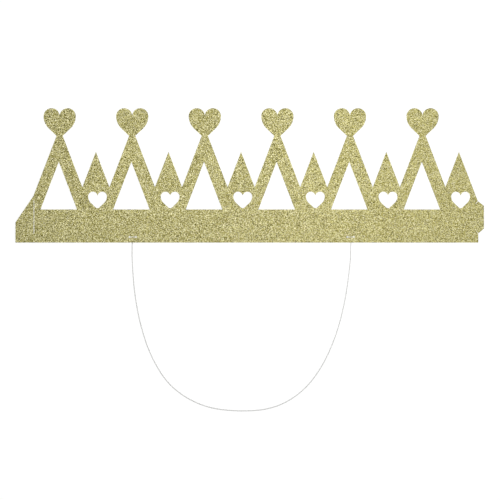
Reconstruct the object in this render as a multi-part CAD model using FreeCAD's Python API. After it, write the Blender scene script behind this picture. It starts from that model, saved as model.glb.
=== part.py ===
import FreeCAD, Part
import math
import os

from FreeCAD import Placement, Rotation, Vector

# A party crown as it is sold: one flat cut sheet of glitter card that is not yet closed into a ring,
# with a thin round elastic knotted through two pairs of punched holes. All sizes are in millimetres.
# The sheet is drawn flat, X along the band from the first tall peak, Y up the crown from the band's
# lower edge, Z out of the glitter face. It is then laid down: its lower edge rests on the two knots
# behind it and its hearts touch the surface.

# The row of peaks
peak_count = 6                 # tall peaks, each with a small peak to its right
peak_pitch = 60.0              # from one tall peak to the next
peak_half_angle = 20.95        # from a peak's centre line to either side, degrees
band_height = 27.35
tall_peak_height = 94.95       # where the sides would meet, inside the heart
small_peak_height = 75.05
card_thickness = 0.45

# The windows in the tall peaks and the hearts
window_height = 66.75          # top corner of the window, above the band's lower edge
window_shift = -0.65           # the windows stand a little left of their peaks
top_heart_width = 26.7
top_heart_sink = 9.15          # the heart's tip below the point where the peak's sides would meet
cut_heart_width = 15.5
cut_heart_tip_height = 27.6    # where its straight sides would meet
cut_heart_tip_radius = 2.2     # its tip is rounded
cut_heart_shift = 1.37         # the cut hearts stand a little right of their peaks

# Shape of the hearts, as shares of their width
lobe_spread = 0.2492           # each lobe's centre from the middle
top_side_share = 0.52          # radius of the long curve below a lobe
cut_side_share = 0.475
side_turn = 46.4               # how far that curve turns before the straight side, degrees

# The tail on the left, with the closing slit
tail_length = 36.4             # from the first tall peak's centre line to the left edge
tail_edge_height = 16.65
tail_slope_angle = 34.06       # the sloping edge from upright, degrees
slit_reach = 21.15             # the slit from the first tall peak's centre line
slit_width = 0.45
slit_clearance = 0.3           # spare length at each end of the slit, for the tab

# The tab on the right
end_length = 45.9              # from the last tall peak's centre line to the body's right edge
tab_reach = 4.7
tab_low = 7.6                  # where the tab's lower slope leaves the right edge
tab_high = 34.3                # where its upper slope leaves the last small peak
tab_low_chamfer = 3.9
tab_high_chamfer = 3.9
lock_slit_length = 2.6         # one thin cut behind each shoulder of the tab
lock_slit_width = 0.3
lock_slit_angle = 52.0         # from level, degrees

# The elastic and the holes that it is tied through
tied_peaks = (1, 4)            # tall peaks over the two pairs of holes, counted from 0 at the left
tie_shift = 0.5                # each pair stands a little right of its peak
hole_height = 4.6
hole_spacing = 5.1             # between the two holes of a pair
hole_diameter = 1.6
cord_diameter = 0.9
knot_diameter = 2.2
knot_land = 0.9                # from a knot's middle to the flat where the cord leaves it
loop_bend_radius = 0.7         # middle line of the elastic where it turns into and out of a hole
touch_gap = 0.03               # left between pieces that only touch

# The elastic's way over the surface from the left knot to the right one, chosen by hand.
# X and Y are from the middle of the card's footprint.
cord_points = [
    (-97.3, -59.5),
    (-97.1, -73.0),
    (-95.2, -98.0),
    (-90.4, -124.0),
    (-81.6, -150.3),
    (-65.8, -175.4),
    (-39.4, -191.4),
    (-10.0, -195.4),
    (19.6, -193.2),
    (42.8, -180.2),
    (59.3, -159.7),
    (71.2, -133.6),
    (78.7, -105.5),
    (82.7, -77.0),
    (83.8, -61.0),
]

# Places that follow from the sizes above
side_slope = math.tan(math.radians(peak_half_angle))
heart_slope = math.tan(math.radians(side_turn))
tail_slope = math.tan(math.radians(tail_slope_angle))
cord_radius = cord_diameter / 2
knot_radius = knot_diameter / 2
tall_centres = [peak_pitch * k for k in range(peak_count)]
small_offset = peak_pitch / 2
notch_height = (side_slope * (tall_peak_height + small_peak_height) - small_offset) / (2 * side_slope)
notch_offset = side_slope * (tall_peak_height - notch_height)
last_centre = tall_centres[-1]
right_edge = last_centre + end_length
heart_tip_height = tall_peak_height - top_heart_sink
tie_centres = [tall_centres[k] + tie_shift for k in tied_peaks]


def flat(x, y):
    return Vector(x, y, 0)


def line(a, b):
    return Part.LineSegment(a, b).toShape()


def arc(a, through, b):
    return Part.Arc(a, through, b).toShape()


def heart_shape(width, side_share):
    """Places on the right half of a heart, from its middle line and its lobes' centres."""
    lobe_x = lobe_spread * width
    lobe_radius = width / 2 - lobe_x
    side_radius = side_share * width
    curve_x = width / 2 - side_radius
    turn = math.radians(side_turn)
    side_x = curve_x + side_radius * math.cos(turn)
    side_y = -side_radius * math.sin(turn)
    return {
        "cleft": (0, math.sqrt(lobe_radius ** 2 - lobe_x ** 2)),
        "lobe_top": (lobe_x, lobe_radius),
        "widest": (width / 2, 0),
        "side_middle": (curve_x + side_radius * math.cos(turn / 2), -side_radius * math.sin(turn / 2)),
        "side_end": (side_x, side_y),
        "tip_drop": side_x / math.tan(turn) - side_y,
    }


def heart_edges(width, side_share, centre_x, tip_y, start_rise):
    """Edges round a heart from its left straight side to its right one, start_rise above its tip."""
    shape = heart_shape(width, side_share)
    lobe_y = tip_y + shape["tip_drop"]

    def half(sign):
        def place(name):
            x, y = shape[name]
            return flat(centre_x + sign * x, lobe_y + y)

        start = flat(centre_x + sign * start_rise * heart_slope, tip_y + start_rise)
        return [
            line(start, place("side_end")),
            arc(place("side_end"), place("side_middle"), place("widest")),
            arc(place("widest"), place("lobe_top"), place("cleft")),
        ]

    return half(-1) + list(reversed(half(1)))


def rounded_heart(width, side_share, centre_x, tip_y, radius):
    """A whole heart whose tip is an arc between its straight sides."""
    turn = math.radians(side_turn)
    rise = radius * math.cos(turn) ** 2 / math.sin(turn)
    reach = rise * heart_slope
    lowest = radius / math.sin(turn) - radius
    tip = arc(
        flat(centre_x + reach, tip_y + rise),
        flat(centre_x, tip_y + lowest),
        flat(centre_x - reach, tip_y + rise),
    )
    return Part.Wire(heart_edges(width, side_share, centre_x, tip_y, rise) + [tip])


def joined(corners):
    return [line(a, b) for a, b in zip(corners, corners[1:])]


def closed(corners):
    return Part.Wire(joined(corners + corners[:1]))


def tall_side(centre_x, y, sign):
    return flat(centre_x + sign * side_slope * (tall_peak_height - y), y)


def card_outline():
    neck_rise = side_slope * top_heart_sink / (side_slope + heart_slope)
    neck_height = heart_tip_height + neck_rise
    shoulder_height = (
        side_slope * tall_peak_height - tail_length - tail_slope * tail_edge_height
    ) / (side_slope - tail_slope)
    small_foot_x = last_centre + small_offset + side_slope * (small_peak_height - tab_high)
    tab_edge = right_edge + tab_reach
    edges = joined([
        flat(right_edge, 0),
        flat(-tail_length, 0),
        flat(-tail_length, tail_edge_height),
        tall_side(0, shoulder_height, -1),
        tall_side(0, neck_height, -1),
    ])
    for centre_x in tall_centres:
        edges += heart_edges(top_heart_width, top_side_share, centre_x, heart_tip_height, neck_rise)
        edges += joined([
            tall_side(centre_x, neck_height, 1),
            flat(centre_x + notch_offset, notch_height),
            flat(centre_x + small_offset, small_peak_height),
        ])
        if centre_x != last_centre:
            next_x = centre_x + peak_pitch
            edges += joined([
                flat(centre_x + small_offset, small_peak_height),
                flat(next_x - notch_offset, notch_height),
                tall_side(next_x, neck_height, -1),
            ])
    edges += joined([
        flat(last_centre + small_offset, small_peak_height),
        flat(small_foot_x, tab_high),
        flat(tab_edge, tab_high - tab_high_chamfer),
        flat(tab_edge, tab_low + tab_low_chamfer),
        flat(right_edge, tab_low),
        flat(right_edge, 0),
    ])
    return Part.Wire(edges), flat(small_foot_x, tab_high), flat(right_edge, tab_low)


def window(centre_x):
    middle = centre_x + window_shift
    half_base = side_slope * (window_height - band_height)
    return closed([
        flat(middle - half_base, band_height),
        flat(middle, window_height),
        flat(middle + half_base, band_height),
    ])


def closing_slit():
    left = -slit_reach - slit_width / 2
    right = left + slit_width
    low = tab_low - slit_clearance
    high = tab_high + slit_clearance
    return closed([flat(left, low), flat(left, high), flat(right, high), flat(right, low)])


def lock_slit(root, angle):
    """A thin cut running inwards from one shoulder of the tab."""
    cut = Part.makeBox(lock_slit_length * 2, lock_slit_width, card_thickness)
    cut.translate(Vector(-lock_slit_length, -lock_slit_width / 2, 0))
    cut.rotate(Vector(0, 0, 0), Vector(0, 0, 1), angle)
    cut.translate(root)
    return cut


def flat_card():
    outline, high_root, low_root = card_outline()
    wires = [outline, closing_slit()]
    for centre_x in tall_centres:
        wires.append(window(centre_x))
        cut_x = centre_x + small_offset + cut_heart_shift
        wires.append(rounded_heart(
            cut_heart_width, cut_side_share, cut_x, cut_heart_tip_height, cut_heart_tip_radius,
        ))
    for centre_x in tie_centres:
        for side in (-1, 1):
            centre = flat(centre_x + side * hole_spacing / 2, hole_height)
            wires.append(Part.Wire(Part.makeCircle(hole_diameter / 2, centre)))
    blank = Part.makeFace(wires, "Part::FaceMakerBullseye").extrude(Vector(0, 0, card_thickness))
    return blank.cut([lock_slit(high_root, lock_slit_angle), lock_slit(low_root, -lock_slit_angle)])


def knot_centre(tie_x):
    """Middle of a knot behind the card, midway between the two holes of its pair."""
    return Vector(tie_x, hole_height, -touch_gap - knot_radius)


def laid_down():
    """Turns the flat card so that the hearts and the knots touch the surface, and centres it there."""
    shape = heart_shape(top_heart_width, top_side_share)
    crown_height = heart_tip_height + shape["tip_drop"] + shape["lobe_top"][1]
    reach = crown_height - hole_height
    depth = knot_radius + touch_gap
    tilt = math.asin(knot_radius / math.hypot(reach, depth)) + math.atan2(depth, reach)
    footprint = crown_height * math.cos(tilt) + card_thickness * math.sin(tilt)
    middle_x = (right_edge + tab_reach - tail_length) / 2
    middle_y = footprint / 2 - card_thickness * math.sin(tilt)
    print("tilt", round(math.degrees(tilt), 3), "degrees, crown height", round(crown_height, 2))
    turned = Placement(Vector(-middle_x, middle_y, 0), Rotation(Vector(1, 0, 0), -math.degrees(tilt)))
    return turned * Placement(Vector(0, -crown_height, 0), Rotation())


def threaded_loop(tie_x):
    """The elastic through one pair of holes: over the front, and behind into the knot."""
    bridge_z = card_thickness + touch_gap + cord_radius
    knot_z = knot_centre(tie_x).z
    half = hole_spacing / 2
    bend = loop_bend_radius
    diagonal = bend * (1 - math.sqrt(0.5))

    def place(x, z):
        return Vector(tie_x + x, hole_height, z)

    edges = [line(place(0, bridge_z), place(half - bend, bridge_z))]
    edges.append(arc(
        place(half - bend, bridge_z),
        place(half - diagonal, bridge_z - diagonal),
        place(half, bridge_z - bend),
    ))
    edges.append(line(place(half, bridge_z - bend), place(half, knot_z + bend)))
    edges.append(arc(
        place(half, knot_z + bend),
        place(half - diagonal, knot_z + diagonal),
        place(half - bend, knot_z),
    ))
    edges.append(line(place(half - bend, knot_z), place(0, knot_z)))
    way = Part.Wire(edges)
    start = Part.Wire(Part.makeCircle(cord_radius, place(0, bridge_z), Vector(1, 0, 0)))
    half_loop = way.makePipeShell([start], True, True)
    other_half = half_loop.mirror(place(0, 0), Vector(1, 0, 0))
    return half_loop.fuse(other_half)


def knot(tie_x, middle, leaving):
    """A knot with its loop, cut flat where the cord leaves it."""
    ball = Part.makeSphere(knot_radius, knot_centre(tie_x))
    tie = ball.fuse(threaded_loop(tie_x)).removeSplitter()
    tie.Placement = lying * tie.Placement
    beyond = Part.makeCylinder(knot_radius, knot_radius, middle + leaving * knot_land, leaving)
    return tie.cut(beyond)


def cord_corners():
    """The route's corners with its two ends on the knots' flats."""
    corners = [Vector(x, y, cord_radius) for x, y in cord_points]
    ends = [lying.multVec(knot_centre(tie_x)) for tie_x in tie_centres]
    leaving = [(corner - end).normalize() for corner, end in zip((corners[0], corners[-1]), ends)]
    starts = [end + way * knot_land for end, way in zip(ends, leaving)]
    return [starts[0]] + corners + [starts[1]], ends, leaving


def rounded_route(corners):
    """Straight runs joined by tangent arcs, each as large as its two runs allow."""
    edges = []
    radii = []
    at = corners[0]
    for before, corner, after in zip(corners, corners[1:], corners[2:]):
        back = before - corner
        ahead = after - corner
        cut = 0.45 * min(back.Length, ahead.Length)
        half_turn = (math.pi - back.getAngle(ahead)) / 2
        radius = cut / math.tan(half_turn)
        back.normalize()
        ahead.normalize()
        inward = (back + ahead).normalize()
        arc_start = corner + back * cut
        arc_end = corner + ahead * cut
        arc_middle = corner + inward * (radius / math.cos(half_turn) - radius)
        edges.append(line(at, arc_start))
        edges.append(arc(arc_start, arc_middle, arc_end))
        radii.append(radius)
        at = arc_end
    edges.append(line(at, corners[-1]))
    return Part.Wire(edges), radii


def elastic(corners):
    route, radii = rounded_route(corners)
    start = Part.Wire(Part.makeCircle(cord_radius, corners[0], corners[1] - corners[0]))
    tube = route.makePipeShell([start], True, True)
    expected = math.pi * cord_radius ** 2 * route.Length
    print("cord length", round(route.Length, 1), "radii", [round(r, 1) for r in radii])
    print("cord volume", round(tube.Volume, 2), "section times length", round(expected, 2))
    return tube


lying = laid_down()
corners, knot_middles, leaving_ways = cord_corners()
card = flat_card()
card.Placement = lying * card.Placement
nodes = {"crown_card": card, "elastic_cord": elastic(corners)}
for name, tie_x, middle, way in zip(("left_knot", "right_knot"), tie_centres, knot_middles, leaving_ways):
    nodes[name] = knot(tie_x, middle, way)

os.makedirs("parts", exist_ok=True)
for name, shape in nodes.items():
    box = shape.BoundBox
    print(name, shape.isValid(), len(shape.Solids), "volume", round(shape.Volume, 3))
    print("  from", [round(v, 3) for v in (box.XMin, box.YMin, box.ZMin)],
          "to", [round(v, 3) for v in (box.XMax, box.YMax, box.ZMax)])
    shape.exportStep("parts/" + name + ".step")
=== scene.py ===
import math

import bmesh
import bpy
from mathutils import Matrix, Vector


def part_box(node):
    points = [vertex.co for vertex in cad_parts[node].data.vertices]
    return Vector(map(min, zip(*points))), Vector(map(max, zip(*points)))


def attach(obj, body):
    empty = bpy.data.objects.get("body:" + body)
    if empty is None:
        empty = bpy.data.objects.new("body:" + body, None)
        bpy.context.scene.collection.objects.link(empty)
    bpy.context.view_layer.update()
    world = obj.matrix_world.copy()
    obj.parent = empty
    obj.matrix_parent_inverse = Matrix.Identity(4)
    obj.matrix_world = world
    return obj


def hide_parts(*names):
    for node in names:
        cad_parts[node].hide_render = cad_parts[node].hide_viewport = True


# A glitter-card party crown lying flat, not yet closed into a ring, its elastic knotted behind.
# Metres, in the frame of the solids: X along the band, Y up the crown, Z up out of the glitter.
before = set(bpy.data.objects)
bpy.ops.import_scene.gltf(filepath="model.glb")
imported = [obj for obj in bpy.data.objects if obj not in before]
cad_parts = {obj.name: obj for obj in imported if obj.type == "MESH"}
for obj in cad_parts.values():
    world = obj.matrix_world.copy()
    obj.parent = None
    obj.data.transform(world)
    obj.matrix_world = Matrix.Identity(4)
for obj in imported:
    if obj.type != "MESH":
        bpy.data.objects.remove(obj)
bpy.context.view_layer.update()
mm = 0.001
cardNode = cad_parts["crown_card"]
print("frame loaded:", ", ".join(sorted(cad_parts)))


class Wire:  # a socket that can stand in a sum
    def __init__(self, board, socket):
        self.board = board
        self.socket = socket

    def maths(self, operation, a, b):
        kind = "ShaderNodeMath"
        return self.board.node(kind, {"operation": operation}, {0: a, 1: b})

    def __add__(self, other):
        return self.maths("ADD", self, other)

    def __radd__(self, other):
        return self.maths("ADD", other, self)

    def __sub__(self, other):
        return self.maths("SUBTRACT", self, other)

    def __rsub__(self, other):
        return self.maths("SUBTRACT", other, self)

    def __mul__(self, other):
        return self.maths("MULTIPLY", self, other)

    def __rmul__(self, other):
        return self.maths("MULTIPLY", other, self)

    def __truediv__(self, other):
        return self.maths("DIVIDE", self, other)

    def __rtruediv__(self, other):
        return self.maths("DIVIDE", other, self)

    def __gt__(self, other):
        return self.maths("GREATER_THAN", self, other)


class Board:  # a node tree, and the one way that nodes are put on it
    def __init__(self, tree):
        self.tree = tree

    def node(self, kind, settings=None, sockets=None, out=0):
        made = self.tree.nodes.new(kind)
        for name, value in (settings or {}).items():
            if name == "stops":
                ramp = made.color_ramp
                while len(ramp.elements) < len(value):
                    ramp.elements.new(1.0)
                for element, (position, paint) in zip(ramp.elements, value):
                    element.position = position
                    element.color = paint
            elif name == "captured":
                made.capture_items.new(value, "Value")
            else:
                setattr(made, name, value)
        for name, value in (sockets or {}).items():
            socket = self.pick(made.inputs, name)
            if isinstance(value, Wire):
                self.tree.links.new(value.socket, socket)
            else:
                socket.default_value = value
        return Wire(self, self.pick(made.outputs, out)) if made.outputs else None

    @staticmethod
    def pick(sockets, wanted):  # by place, or by name among those in use
        if isinstance(wanted, int):
            return sockets[wanted]
        return next(s for s in sockets if s.name == wanted and s.enabled)


def colour(red, green, blue):  # from the 0 to 255 of a paint chart to what the shaders take
    def linear(value):
        share = value / 255
        return share / 12.92 if share <= 0.04045 else ((share + 0.055) / 1.055) ** 2.4

    return (linear(red), linear(green), linear(blue), 1.0)


def newMaterial(name):
    material = bpy.data.materials.new(name)
    material.use_nodes = True
    material.node_tree.nodes.clear()
    return material, Board(material.node_tree)


def finishMaterial(board, shader):
    board.node("ShaderNodeOutputMaterial", sockets={"Surface": shader})


# Camera
view = {
    "width": 413.2 * mm,        # of the crown's surface, across the picture
    "middleX": 0.25 * mm,
    "middleY": -61.7 * mm,
    "middleZ": 1.4 * mm,        # half way up the lying card
    "lens": 200.0,
    "sensor": 36.0,
    "sightFactor": 3.0,         # how far it sees, as many times its height
}


def makeCamera():
    data = bpy.data.cameras.new("overhead")
    data.lens = view["lens"]
    data.sensor_width = view["sensor"]
    camera = bpy.data.objects.new("overhead", data)
    distance = view["width"] * view["lens"] / view["sensor"]
    camera.location = (view["middleX"], view["middleY"], view["middleZ"] + distance)
    data.clip_end = distance * view["sightFactor"]
    bpy.context.scene.collection.objects.link(camera)
    bpy.context.scene.camera = camera


makeCamera()
print("camera set")


# Elastic cord
elastic = {
    "diameter": 0.9 * mm,
    "points": [                 # the middle line's corners, in millimetres
        (-97.3, -59.5),
        (-97.1, -73.0),
        (-95.2, -98.0),
        (-90.4, -124.0),
        (-81.6, -150.3),
        (-65.8, -175.4),
        (-39.4, -191.4),
        (-10.0, -195.4),
        (19.6, -193.2),
        (42.8, -180.2),
        (59.3, -159.7),
        (71.2, -133.6),
        (78.7, -105.5),
        (82.7, -77.0),
        (83.8, -61.0),
    ],
    "knotFlat": 0.9 * mm,       # from a knot's middle to where the cord leaves it
    "knotRadius": 1.1 * mm,
    "routeSteps": 24,           # from one point to the next
    "sides": 16,
    "ring": 0.1 * mm,           # between the tube's rings
    "strands": 4,               # each way round
    "strandPitch": 1.7 * mm,    # for one turn of a strand
    "relief": 0.035 * mm,
    "shadedCordTones": ((192, 192, 190), (228, 228, 226)),   # painted shade: the white elastic greyed, darker in the braid's hollows than on its crowns
    "litTieTones": ((232, 228, 212), (253, 250, 236)),    # painted light: a lighter copy of the same white elastic, for the knots
    "toneStops": (0.25, 0.75),  # what the mix of weave and fuzz is at those tones
    "mixStart": 0.25,
    # how much the braid's hollows are darkened by its height: painted shade
    "weaveShadeShare": 0.5,
    "fuzzShare": 0.35,
    "fuzzScale": 7000.0,
    "fuzzDetail": 2.0,
    "bumpStrength": 0.3,
    "bumpDepth": 0.02 * mm,
    "roughness": 0.62,
}


def knotMiddle(node):
    low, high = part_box(node)
    return Vector(((low.x + high.x) / 2, high.y - elastic["knotRadius"], elastic["knotRadius"]))


def curveFrom(name, points, steps, radii=None):  # a smooth line that follows its points
    data = bpy.data.curves.new(name, "CURVE")
    data.dimensions = "3D"
    data.resolution_u = steps
    spline = data.splines.new("NURBS")
    spline.points.add(len(points) - 1)
    for k, point in enumerate(points):
        spline.points[k].co = (*point, 1.0)
        spline.points[k].radius = radii[k] if radii else 1.0
    spline.order_u = 3
    spline.use_endpoint_u = True
    curve = bpy.data.objects.new(name, data)
    bpy.context.scene.collection.objects.link(curve)
    return curve


def newTree(name, inputs):
    tree = bpy.data.node_groups.new(name, "GeometryNodeTree")
    tree.interface.new_socket("Geometry", in_out="OUTPUT", socket_type="NodeSocketGeometry")
    tree.interface.new_socket("Geometry", in_out="INPUT", socket_type="NodeSocketGeometry")
    for label, kind in inputs:
        tree.interface.new_socket(label, in_out="INPUT", socket_type=kind)
    return tree, Board(tree)


def grown(name, base, tree, values):  # the plain mesh that a tree makes on a base mesh
    holder = bpy.data.objects.new(name, base)
    bpy.context.scene.collection.objects.link(holder)
    modifier = holder.modifiers.new("grow", "NODES")
    modifier.node_group = tree
    identifiers = {
        item.name: item.identifier
        for item in tree.interface.items_tree
        if item.in_out == "INPUT"
    }
    for label, value in values.items():
        modifier[identifiers[label]] = value
    bpy.context.view_layer.update()
    shown = holder.evaluated_get(bpy.context.evaluated_depsgraph_get())
    mesh = bpy.data.meshes.new_from_object(shown)
    holder.modifiers.remove(modifier)
    holder.data = mesh
    return holder


def capture(board, geometry, value):  # the geometry with a value kept on it, and that value
    settings = {"domain": "POINT", "captured": "FLOAT"}
    kept = board.node("GeometryNodeCaptureAttribute", settings, {0: geometry, 1: value})
    return kept, Wire(board, kept.socket.node.outputs[1])


def braidTree():
    tree, board = newTree("braided tube", [
        ("Route", "NodeSocketObject"),
        ("Radius", "NodeSocketFloat"),
        ("Ring spacing", "NodeSocketFloat"),
        ("Sides", "NodeSocketInt"),
        ("Strands", "NodeSocketFloat"),
        ("Strand pitch", "NodeSocketFloat"),
        ("Relief", "NodeSocketFloat"),
        ("Material", "NodeSocketMaterial"),
    ])

    def given(label):
        return board.node("NodeGroupInput", out=label)

    turn = 2 * math.pi
    route = board.node("GeometryNodeObjectInfo", sockets={
        "Object": given("Route"),
    }, out="Geometry")
    rings = board.node(
        "GeometryNodeResampleCurve",
        {"mode": "LENGTH"},
        {"Curve": route, "Length": given("Ring spacing")},
    )
    length = board.node("GeometryNodeSplineParameter", out="Length")
    rings, along = capture(board, rings, length)
    circle = board.node("GeometryNodeCurvePrimitiveCircle", sockets={
        "Resolution": given("Sides"), "Radius": given("Radius"),
    })
    factor = board.node("GeometryNodeSplineParameter", out="Factor")
    circle, around = capture(board, circle, factor)
    tube = board.node("GeometryNodeCurveToMesh", sockets={
        "Curve": rings,
        "Profile Curve": circle,
        "Scale": board.node("GeometryNodeInputRadius"),
        "Fill Caps": True,
    })
    winding = along / given("Strand pitch") * given("Strands") * turn
    angle = around * given("Strands") * turn
    one = board.node("ShaderNodeMath", {"operation": "SINE"}, {0: angle + winding})
    other = board.node("ShaderNodeMath", {"operation": "SINE"}, {0: angle - winding})
    height = board.node("ShaderNodeMath", {"operation": "MAXIMUM"}, {0: one, 1: other})
    raised = board.node("ShaderNodeVectorMath", {"operation": "SCALE"}, {
        "Vector": board.node("GeometryNodeInputNormal"),
        "Scale": (height - 1) * given("Relief"),
    })
    stored = {"data_type": "FLOAT", "domain": "POINT"}
    marked = board.node("GeometryNodeStoreNamedAttribute", stored, {
        "Geometry": tube, "Name": "weave", "Value": height,
    })
    woven = board.node("GeometryNodeSetPosition", sockets={"Geometry": marked, "Offset": raised})
    smooth = board.node("GeometryNodeSetShadeSmooth", sockets={"Geometry": woven})
    real = board.node("GeometryNodeRealizeInstances", sockets={"Geometry": smooth})
    coloured = board.node("GeometryNodeSetMaterial", sockets={
        "Geometry": real, "Material": given("Material"),
    })
    board.node("NodeGroupOutput", sockets={"Geometry": coloured})
    return tree


def elasticMaterial(name, tones):
    material, board = newMaterial(name)
    place = board.node("ShaderNodeTexCoord", out="Object")
    fuzz = board.node("ShaderNodeTexNoise", sockets={
        "Vector": place, "Scale": elastic["fuzzScale"], "Detail": elastic["fuzzDetail"],
    })
    weave = board.node("ShaderNodeAttribute", {"attribute_name": "weave"}, out="Fac")
    # painted shade: the braid's height from the tube darkens the colour in its hollows, lightens
    # it on its crowns
    mix = weave * elastic["weaveShadeShare"] + elastic["mixStart"] + fuzz * elastic["fuzzShare"]
    tint = board.node("ShaderNodeValToRGB", {
        "stops": list(zip(elastic["toneStops"], (colour(*tone) for tone in tones))),
    }, {"Fac": mix})
    bump = board.node("ShaderNodeBump", sockets={
        "Height": fuzz, "Strength": elastic["bumpStrength"], "Distance": elastic["bumpDepth"],
    })
    shader = board.node("ShaderNodeBsdfPrincipled", sockets={
        "Base Color": tint, "Roughness": elastic["roughness"], "Normal": bump,
    })
    finishMaterial(board, shader)
    return material


def braided(name, route, material, fineness):
    return grown(name, bpy.data.meshes.new(name), braidedTube, {
        "Route": route,
        "Radius": elastic["diameter"] / 2,
        "Ring spacing": fineness["ring"],
        "Sides": fineness["sides"],
        "Strands": float(elastic["strands"]),
        "Strand pitch": elastic["strandPitch"],
        "Relief": elastic["relief"],
        "Material": material,
    })


def cordRoute():
    height = elastic["diameter"] / 2
    corners = [Vector((x * mm, y * mm, height)) for x, y in elastic["points"]]
    ends = []
    for node, corner in (("left_knot", corners[0]), ("right_knot", corners[-1])):
        middle = knotMiddle(node)
        ends.append(middle + (corner - middle).normalized() * elastic["knotFlat"])
    return [ends[0]] + corners + [ends[1]]


braidedTube = braidTree()
# the cord gets a greyed copy of the white elastic (painted shade), the knots a lighter copy
# (painted light)
shadedCordElastic = elasticMaterial("white braided elastic, painted shade", elastic["shadedCordTones"])
litTieElastic = elasticMaterial("white elastic, painted light", elastic["litTieTones"])
routePoints = cordRoute()
routeCurve = curveFrom("elastic route", routePoints, elastic["routeSteps"])
bpy.context.view_layer.update()
routeMesh = bpy.data.meshes.new_from_object(
    routeCurve.evaluated_get(bpy.context.evaluated_depsgraph_get())
)
cord = braided("elastic_braid", routeCurve, shadedCordElastic, elastic)


# Knots
tie = {
    "holeSpacing": 5.1 * mm,
    "legInset": 0.15 * mm,      # how far the elastic is pulled to a hole's inner side
    "entryDrop": 0.1 * mm,      # how far below the knot's middle it comes in
    "loop": [                   # its way on: place, then millimetres along, aside and up
        ("core", 0.0, -0.3, 0.0),
        ("core", 0.1, 0.45, 0.0),
        ("rim", 0.9, 0.35, 0.05),
        ("right leg", -0.15, 0.05, 0.1),
        ("right leg", 0.05, 0.0, 0.75),
        ("right hole", 0.0, 0.0, -0.75),
        ("right hole", -0.02, 0.0, 0.02),
        ("right hole", -0.75, 0.0, 0.0),
        ("bridge", 0.0, 0.02, 0.0),
        ("left hole", 0.75, 0.0, 0.0),
        ("left hole", 0.02, 0.0, 0.02),
        ("left hole", 0.0, 0.0, -0.75),
        ("left leg", -0.05, 0.0, 0.75),
        ("left leg", 0.15, 0.1, 0.1),
        ("rim", -1.2, 0.45, 0.05),
    ],
    "coreRadius": 0.36 * mm,    # the elastic is squeezed thinner inside a knot
    "rimThickness": 0.95,
    "wraps": 2.5,
    "wrapSteps": 8,             # for one turn
    "wrapLength": 1.5 * mm,
    "wrapSink": 0.02 * mm,      # how deep the wraps press into the core
    "tail": [                   # millimetres along and aside, height in radii, thickness
        (1.4, -0.95, 0.95, 0.9),
        (2.4, -1.0, 1.0, 1.0),
        (4.0, -0.6, 1.0, 1.0),
    ],
    "routeSteps": 12,
    "sides": 12,
    "ring": 0.12 * mm,
}


def tieRoute(node):
    middle = knotMiddle(node)
    radius = elastic["diameter"] / 2
    leg = tie["holeSpacing"] / 2 - tie["legInset"]
    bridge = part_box(node)[1].z - radius
    squeezed = tie["coreRadius"] / radius
    places = {                  # how far along the card, how high, and how thick it is there
        "core": (0, middle.z, squeezed),
        "rim": (0, middle.z, tie["rimThickness"]),
        "right leg": (leg, middle.z, 1.0),
        "right hole": (leg, bridge, 1.0),
        "bridge": (0, bridge, 1.0),
        "left hole": (-leg, bridge, 1.0),
        "left leg": (-leg, middle.z, 1.0),
    }
    points = []
    radii = []

    def add(x, y, z, thickness=1.0):
        points.append(Vector((middle.x + x, middle.y + y, z)))
        radii.append(thickness)

    add(0, -elastic["knotFlat"], middle.z - tie["entryDrop"])
    for place, along, aside, up in tie["loop"]:
        x, z, thickness = places[place]
        add(x + along * mm, aside * mm, z + up * mm, thickness)
    turnRadius = 2 * tie["coreRadius"] - tie["wrapSink"]
    steps = int(tie["wraps"] * tie["wrapSteps"])
    for k in range(steps + 1):
        share = k / steps
        angle = math.pi + share * tie["wraps"] * 2 * math.pi
        aside = 0.5 * tie["wrapLength"] - share * tie["wrapLength"]
        up = turnRadius * math.sin(angle)
        add(turnRadius * math.cos(angle), aside, middle.z + up, squeezed)
    for along, aside, height, thickness in tie["tail"]:
        add(along * mm, aside * mm, radius * height, thickness)
    return points, radii


def makeTie(node, name):
    points, radii = tieRoute(node)
    route = curveFrom(name + " route", points, tie["routeSteps"], radii)
    piece = braided(name, route, litTieElastic, tie)
    bpy.data.objects.remove(route)
    print(name, "faces", len(piece.data.polygons))
    return piece


leftTie = makeTie("left_knot", "left_knot_braid")
rightTie = makeTie("right_knot", "right_knot_braid")


# Glitter card
glitter = {
    "flake": 0.38 * mm,         # across one flake
    "tilt": 0.6,
    "roughness": 0.5,
    "metallic": 0.5,
    "tones": [
        (0.0, colour(44, 39, 4)),
        (0.22, colour(110, 103, 32)),
        (0.62, colour(176, 169, 99)),
        (1.0, colour(223, 218, 182)),
    ],
    "facing": 0.5,              # what looks up by more than this has glitter on it
    "stockTones": [             # of the back and the cut edges
        (0.3, colour(228, 225, 214)),
        (0.75, colour(243, 241, 233)),
    ],
    "stockRoughness": 0.85,
    "fibreScale": 900.0,
    "fibreDetail": 4.0,
}


def glitterTone(board, place):
    cells = {"voronoi_dimensions": "3D", "feature": "F1"}
    flakeColour = board.node("ShaderNodeTexVoronoi", cells, {
        "Vector": place, "Scale": 1 / glitter["flake"], "Randomness": 1.0,
    }, out="Color")
    tone = board.node("ShaderNodeSeparateColor", sockets={"Color": flakeColour})
    tinted = board.node("ShaderNodeValToRGB", {"stops": glitter["tones"]}, {"Fac": tone})
    return tinted, flakeColour


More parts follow.
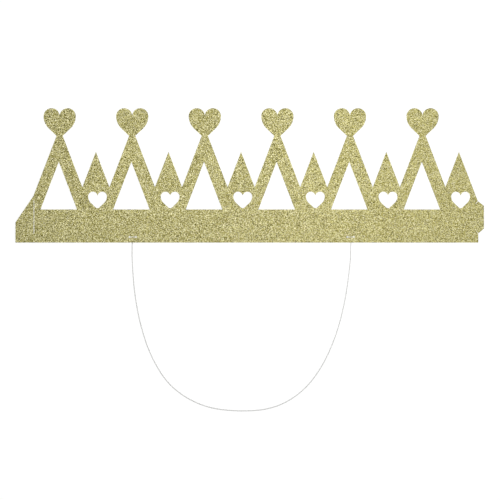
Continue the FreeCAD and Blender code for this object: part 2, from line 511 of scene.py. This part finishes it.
def flakeNormal(board, flakeColour, amount):
    middleGrey = (0.5, 0.5, 0.5)
    centred = board.node("ShaderNodeVectorMath", {"operation": "SUBTRACT"}, {
        0: flakeColour, 1: middleGrey,
    })
    leaning = board.node("ShaderNodeVectorMath", {"operation": "SCALE"}, {
        "Vector": centred, "Scale": amount,
    })
    upright = board.node("ShaderNodeNewGeometry", out="Normal")
    leant = board.node("ShaderNodeVectorMath", {"operation": "ADD"}, {0: upright, 1: leaning})
    return board.node("ShaderNodeVectorMath", {"operation": "NORMALIZE"}, {0: leant})


def blended(board, share, low, high):  # a colour between two
    return board.node("ShaderNodeMix", {"data_type": "RGBA"}, {
        "Factor": share, "A": low, "B": high,
    }, out="Result")


def cardMaterial():
    material, board = newMaterial("glitter face on off-white card")
    place = board.node("ShaderNodeTexCoord", out="Object")
    tone, flakeColour = glitterTone(board, place)
    fibre = board.node("ShaderNodeTexNoise", sockets={
        "Vector": place, "Scale": glitter["fibreScale"], "Detail": glitter["fibreDetail"],
    })
    stock = board.node("ShaderNodeValToRGB", {"stops": glitter["stockTones"]}, {"Fac": fibre})
    normal = board.node("ShaderNodeTexCoord", out="Normal")
    upward = board.node("ShaderNodeSeparateXYZ", sockets={"Vector": normal}, out="Z")
    face = upward > glitter["facing"]
    leaning = flakeNormal(board, flakeColour, face * glitter["tilt"])
    smoother = glitter["stockRoughness"] - glitter["roughness"]
    shader = board.node("ShaderNodeBsdfPrincipled", sockets={
        "Base Color": blended(board, face, stock, tone),
        "Metallic": face * glitter["metallic"],
        "Roughness": glitter["stockRoughness"] - face * smoother,
        "Normal": leaning,
    })
    finishMaterial(board, shader)
    return material


def flakeMaterial():
    material, board = newMaterial("loose gold flakes")
    tone = board.node("ShaderNodeAttribute", {"attribute_name": "flakeTone"}, out="Fac")
    tinted = board.node("ShaderNodeValToRGB", {"stops": glitter["tones"]}, {"Fac": tone})
    shader = board.node("ShaderNodeBsdfPrincipled", sockets={
        "Base Color": tinted, "Metallic": glitter["metallic"], "Roughness": glitter["roughness"],
    })
    finishMaterial(board, shader)
    return material


cardNode.data.materials.clear()
cardNode.data.materials.append(cardMaterial())


# Glitter flakes that stand proud of the face
flakes = {
    "count": 9400,
    "width": 0.38 * mm,
    "widthRange": (0.65, 1.3),  # of each flake, as a share of that
    "corners": 6,
    "depth": 0.03 * mm,
    "lean": 22.0,               # degrees
    "lift": 0.03 * mm,
    "seed": 7,                  # of their places
    "drawSeeds": {"leanX": 1, "leanY": 2, "turn": 3, "width": 4, "tone": 5},
    "upright": 0.9,             # how squarely the glittered face looks up
    "mergeGap": 0.001 * mm,     # the face's corners that are nearer each other are one
    "slitX": -178.25 * mm,      # the closing slit's middle
    "slitY": -34.64 * mm,
    "slitReach": 14.0 * mm,     # from its middle past either end
    "slitBeside": 1.0 * mm,     # how far to its sides its own corners are looked for
    "slitStrip": 0.2 * mm,      # along each of its lips, where more flakes have come loose
    "slitShare": 15.0,          # as many times the flakes of the rest
    "stitchReach": 1.9 * mm,    # each way along the elastic where it crosses the face
    "stitchWidth": 0.6 * mm,
    "stitchShare": 18.0,        # as with slitShare, because glitter clings to it
}


def flakeTree():
    tree, board = newTree("scattered flakes", [
        ("Density", "NodeSocketFloat"),
        ("Flake width", "NodeSocketFloat"),
        ("Flake depth", "NodeSocketFloat"),
        ("Lean", "NodeSocketFloat"),
        ("Lift", "NodeSocketFloat"),
        ("Seed", "NodeSocketInt"),
        ("Material", "NodeSocketMaterial"),
    ])

    def given(label):
        return board.node("NodeGroupInput", out=label)

    def drawn(use, low, high):
        return board.node("FunctionNodeRandomValue", {"data_type": "FLOAT"}, {
            "Min": low, "Max": high, "Seed": flakes["drawSeeds"][use],
        }, out="Value")

    number = {"data_type": "FLOAT"}
    share = board.node("GeometryNodeInputNamedAttribute", number, {"Name": "share"})
    points = board.node("GeometryNodeDistributePointsOnFaces", {"distribute_method": "RANDOM"}, {
        "Mesh": given("Geometry"),
        "Density": given("Density") * share,
        "Seed": given("Seed"),
    })
    lean = given("Lean")
    turned = board.node("ShaderNodeCombineXYZ", sockets={
        "X": drawn("leanX", lean * -1, lean),
        "Y": drawn("leanY", lean * -1, lean),
        "Z": drawn("turn", 0.0, 2 * math.pi),
    })
    lifted = board.node("GeometryNodeSetPosition", sockets={
        "Geometry": points,
        "Offset": board.node("ShaderNodeCombineXYZ", sockets={"Z": given("Lift")}),
    })
    half = given("Flake width") * 0.5
    flake = board.node("GeometryNodeMeshCylinder", {"fill_type": "NGON"}, {
        "Vertices": flakes["corners"], "Radius": half, "Depth": given("Flake depth"),
    })
    width = drawn("width", *flakes["widthRange"])
    placed = board.node("GeometryNodeInstanceOnPoints", sockets={
        "Points": lifted,
        "Instance": flake,
        "Rotation": board.node("FunctionNodeEulerToRotation", sockets={"Euler": turned}),
        "Scale": board.node("ShaderNodeCombineXYZ", sockets={"X": width, "Y": width, "Z": 1.0}),
    })
    stored = {"data_type": "FLOAT", "domain": "INSTANCE"}
    toned = board.node("GeometryNodeStoreNamedAttribute", stored, {
        "Geometry": placed, "Name": "flakeTone", "Value": drawn("tone", 0.0, 1.0),
    })
    real = board.node("GeometryNodeRealizeInstances", sockets={"Geometry": toned})
    coloured = board.node("GeometryNodeSetMaterial", sockets={
        "Geometry": real, "Material": given("Material"),
    })
    board.node("NodeGroupOutput", sockets={"Geometry": coloured})
    return tree


def addStrip(copied, share, a, b, across, amount):  # a narrow face for more flakes, from a to b
    corners = [a - across, a + across, b + across, b - across]
    strip = copied.faces.new([copied.verts.new(corner) for corner in corners])
    strip[share] = amount


def addLips(copied, share):  # over each long edge of the closing slit
    middle = Vector((flakes["slitX"], flakes["slitY"]))
    near = []
    for vertex in copied.verts:
        off = vertex.co.xy - middle
        if abs(off.x) < flakes["slitBeside"] and abs(off.y) < flakes["slitReach"]:
            near.append(vertex.co.copy())
    reach = Vector((flakes["slitStrip"] / 2, 0, 0))
    for side in (-1, 1):
        ends = [place for place in near if (place.x - flakes["slitX"]) * side > 0]
        low = min(ends, key=lambda place: place.y)
        high = max(ends, key=lambda place: place.y)
        addStrip(copied, share, low, high, reach, flakes["slitShare"])


def addStitches(copied, share):  # over the elastic between each pair of holes
    along = Vector((flakes["stitchReach"], 0, 0))
    across = Vector((0, flakes["stitchWidth"] / 2, 0))
    for node in ("left_knot", "right_knot"):
        middle = knotMiddle(node)
        middle.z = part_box(node)[1].z
        addStrip(copied, share, middle - along, middle + along, across, flakes["stitchShare"])


def glitteredFace():  # a copy of the card's upper side alone
    mesh = bpy.data.meshes.new("glittered face")
    copied = bmesh.new()
    copied.from_mesh(cardNode.data)
    bmesh.ops.remove_doubles(copied, verts=copied.verts, dist=flakes["mergeGap"])
    unwanted = [face for face in copied.faces if face.normal.z < flakes["upright"]]
    bmesh.ops.delete(copied, geom=unwanted, context="FACES")
    area = sum(face.calc_area() for face in copied.faces)
    share = copied.faces.layers.float.new("share")
    for face in copied.faces:
        face[share] = 1.0
    addLips(copied, share)
    addStitches(copied, share)
    copied.to_mesh(mesh)
    copied.free()
    return mesh, area


faceMesh, faceArea = glitteredFace()
flakePiece = grown("glitter_flakes", faceMesh, flakeTree(), {
    "Density": flakes["count"] / faceArea,
    "Flake width": flakes["width"],
    "Flake depth": flakes["depth"],
    "Lean": math.radians(flakes["lean"]),
    "Lift": flakes["lift"],
    "Seed": flakes["seed"],
    "Material": flakeMaterial(),
})
print("card area", round(faceArea * 1e6), "mm2, flake faces", len(flakePiece.data.polygons))


# Floor, lamps and surroundings
studio = {
    "floorHalf": 3.0,
    "skyStrength": 0.6,         # what it lights the part with
    "skySeen": 1.0,             # to the camera, in a mirror and through glass
    "lamps": [                  # name, watts, size, place, what it points at
        ("key", 1.3, 0.4, (0.25, 0.1, 0.5), (0.05, 0.0, 0.0)),
        ("low right", 0.058, 0.1, (0.08, 0.02, 0.16), (0.08, 0.0, 0.0)),
        ("low left", 0.05, 0.1, (-0.11, 0.02, 0.16), (-0.11, 0.0, 0.0)),
        ("front", 0.85, 0.4, (0.0, -0.45, 0.7), (0.0, -0.1, 0.0)),
    ],
    "floorTone": (246, 246, 246),
    "floorGlow": 0.8,           # how much of the floor is plain white to the camera
    "floorWhite": 1.1,          # the strength of that white
}


def makeFloor():
    half = studio["floorHalf"]
    mesh = bpy.data.meshes.new("floor")
    corners = [(-half, -half, 0), (half, -half, 0), (half, half, 0), (-half, half, 0)]
    mesh.from_pydata(corners, [], [(0, 1, 2, 3)])
    floor = bpy.data.objects.new("floor", mesh)
    bpy.context.scene.collection.objects.link(floor)
    material, board = newMaterial("white sweep")
    matt = board.node("ShaderNodeBsdfDiffuse", sockets={"Color": colour(*studio["floorTone"])})
    white = board.node("ShaderNodeEmission", sockets={"Strength": studio["floorWhite"]})
    seen = board.node("ShaderNodeLightPath", out="Is Camera Ray")
    shader = board.node("ShaderNodeMixShader", sockets={
        0: seen * studio["floorGlow"], 1: matt, 2: white,
    })
    finishMaterial(board, shader)
    mesh.materials.append(material)


def makeSurroundings():
    world = bpy.data.worlds.new("studio")
    world.use_nodes = True
    world.node_tree.nodes.clear()
    board = Board(world.node_tree)
    seen, glossy, through = [
        board.node("ShaderNodeLightPath", out=ray)
        for ray in ("Is Camera Ray", "Is Glossy Ray", "Is Transmission Ray")
    ]
    light = board.node("ShaderNodeBackground", sockets={"Strength": studio["skyStrength"]})
    white = board.node("ShaderNodeBackground", sockets={"Strength": studio["skySeen"]})
    anyOfThem = (seen + glossy + through) > 0.5
    mixed = board.node("ShaderNodeMixShader", sockets={0: anyOfThem, 1: light, 2: white})
    board.node("ShaderNodeOutputWorld", sockets={"Surface": mixed})
    bpy.context.scene.world = world


def makeLamp(name, watts, size, place, aim):
    data = bpy.data.lights.new(name, "AREA")
    data.energy = watts
    data.size = size
    lamp = bpy.data.objects.new(name, data)
    lamp.location = place
    lamp.rotation_euler = (Vector(aim) - Vector(place)).to_track_quat("-Z", "Y").to_euler()
    lamp.visible_camera = False
    bpy.context.scene.collection.objects.link(lamp)


makeFloor()
makeSurroundings()
for lamp in studio["lamps"]:
    makeLamp(*lamp)
bpy.context.scene.view_settings.view_transform = "Standard"
print("studio set")

bpy.data.objects.remove(routeCurve)
for piece, slot in (
    (cord, "elastic"), (leftTie, "elastic"), (rightTie, "elastic"), (flakePiece, "glitter_card"),
):
    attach(piece, "root")
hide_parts("elastic_cord")
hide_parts("left_knot")
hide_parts("right_knot")
